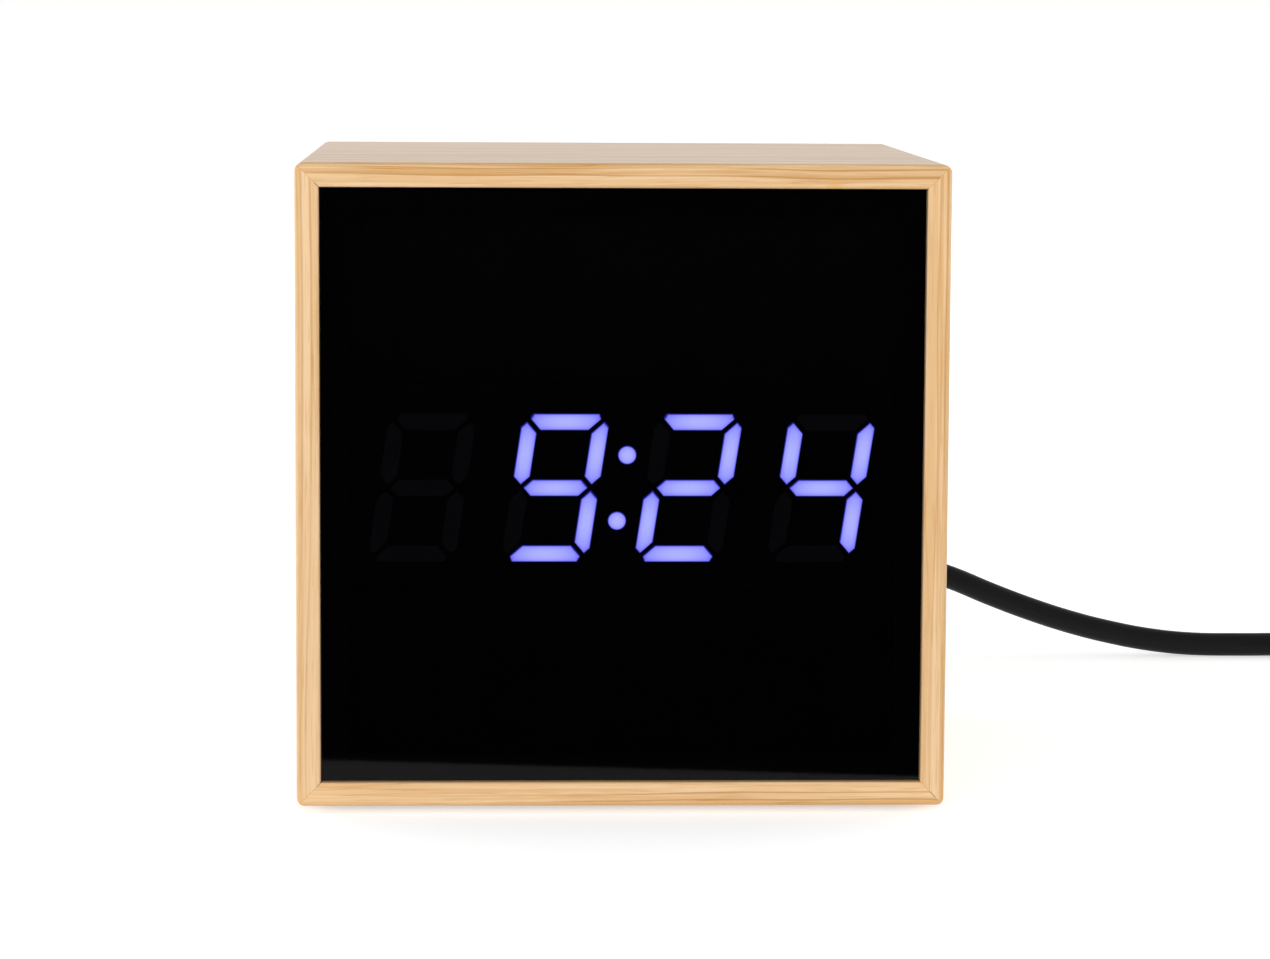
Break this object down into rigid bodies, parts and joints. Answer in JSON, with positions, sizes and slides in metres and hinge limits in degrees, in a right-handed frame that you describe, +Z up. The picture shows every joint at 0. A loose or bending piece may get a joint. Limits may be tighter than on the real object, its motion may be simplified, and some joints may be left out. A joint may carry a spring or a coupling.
{
  "type": "cube alarm clock",
  "caption": "Cube desk clock with a mitred bamboo case, smoked front, lit slanted digits, rear buttons, alarm switch, battery cap and a coiled power lead.",
  "frame": {"origin": "middle of the clock's base, on the surface that its feet stand on", "axes": "+Z up, the display faces -Y, +X to the right as the display is read"},
  "size_m": [0.252, 0.1562, 0.1],
  "materials": {
    "bamboo": "planed bamboo strips under satin lacquer",
    "glue_block_wood": "sawn, unfinished",
    "foot_foam": "matt moulded",
    "smoked_acrylic": "polished, tinted nearly black",
    "gasket_foam": "matt foam",
    "black_abs": "fine moulded texture",
    "button_abs": "satin moulded",
    "zinc_screw": "zinc plated",
    "shell_plastic": "black printed face",
    "lit_epoxy": "clear filling, lit from behind",
    "unlit_epoxy": "clear filling, unlit",
    "led_phosphor": "moulded",
    "circuit_board": "solder mask",
    "chip_epoxy": "moulded",
    "crystal_can": "drawn can",
    "capacitor_sleeve": "shrunk sleeve",
    "connector_nylon": "moulded",
    "ribbon_pvc": "extruded",
    "switch_plastic": "moulded",
    "plunger_plastic": "moulded",
    "knob_plastic": "moulded",
    "cell_steel": "stamped",
    "contact_brass": "stamped",
    "plated_metal": "nickel plated",
    "plug_pvc": "over-moulded",
    "cord_pvc": "extruded",
    "tie_rubber": "moulded strap",
    "tongue_plastic": "moulded"
  },
  "bodies": {
    "clock": {"top_board": "bamboo", "bottom_board": "bamboo", "left_board": "bamboo", "right_board": "bamboo", "corner_blocks": "glue_block_wood", "foot_pads": "foot_foam", "front_lens": "smoked_acrylic", "lens_gasket": "gasket_foam", "display_frame": "black_abs", "back_cover": "black_abs", "frame_screws": "zinc_screw", "display_screws": "zinc_screw", "control_screws": "zinc_screw", "cover_screws": "zinc_screw", "display_shell": "shell_plastic", "lit_segments": "lit_epoxy", "colon_dots": "lit_epoxy", "unlit_segments": "unlit_epoxy", "led_chips": "led_phosphor", "display_board": "circuit_board", "control_board": "circuit_board", "clock_chip": "chip_epoxy", "quartz_crystal": "crystal_can", "smoothing_capacitor": "capacitor_sleeve", "display_connector": "connector_nylon", "control_connector": "connector_nylon", "ribbon_cable": "ribbon_pvc", "switch_bodies": "switch_plastic", "alarm_switch_body": "switch_plastic", "cell_holder": "switch_plastic", "dc_socket": "switch_plastic", "buzzer": "switch_plastic", "coin_cell": "cell_steel", "cell_contacts": "contact_brass", "dc_socket_pin": "plated_metal"},
    "set_press": {"set_button": "button_abs", "set_plunger": "plunger_plastic"},
    "up_press": {"up_button": "button_abs", "up_plunger": "plunger_plastic"},
    "down_press": {"down_button": "button_abs", "down_plunger": "plunger_plastic"},
    "alarm_press": {"alarm_button": "button_abs", "alarm_plunger": "plunger_plastic"},
    "alarm_slider": {"alarm_switch_knob": "knob_plastic"},
    "cell_cover": {"battery_cap": "black_abs"},
    "power_lead": {"plug_body": "plug_pvc", "plug_sleeve": "plated_metal", "cord_lead": "cord_pvc", "cord_coil": "cord_pvc", "cord_tail": "cord_pvc", "coil_ties": "tie_rubber", "usb_plug_body": "plug_pvc", "usb_plug_shell": "plated_metal", "usb_tongue": "tongue_plastic"}
  },
  "joints": [
    {"name": "set_button_press", "type": "slide", "parent": "clock", "child": "set_press", "axis": [0, -1, 0], "range_m": [0, 0.0008], "stiffness_N_per_m": 1500},
    {"name": "up_button_press", "type": "slide", "parent": "clock", "child": "up_press", "axis": [0, -1, 0], "range_m": [0, 0.0008], "stiffness_N_per_m": 1500},
    {"name": "down_button_press", "type": "slide", "parent": "clock", "child": "down_press", "axis": [0, -1, 0], "range_m": [0, 0.0008], "stiffness_N_per_m": 1500},
    {"name": "alarm_button_press", "type": "slide", "parent": "clock", "child": "alarm_press", "axis": [0, -1, 0], "range_m": [0, 0.0008], "stiffness_N_per_m": 1500},
    {"name": "alarm_switch_slide", "type": "slide", "parent": "clock", "child": "alarm_slider", "axis": [1, 0, 0], "range_m": [0, 0.004]},
    {"name": "battery_cap_twist", "type": "hinge", "parent": "clock", "child": "cell_cover", "pos_m": [-0.018, 0.0468, 0.03], "axis": [0, 1, 0], "range_deg": [0, 60]},
    {"name": "plug_pull", "type": "slide", "parent": "clock", "child": "power_lead", "axis": [0, 1, 0], "range_m": [0, 0.012]}
  ]
}
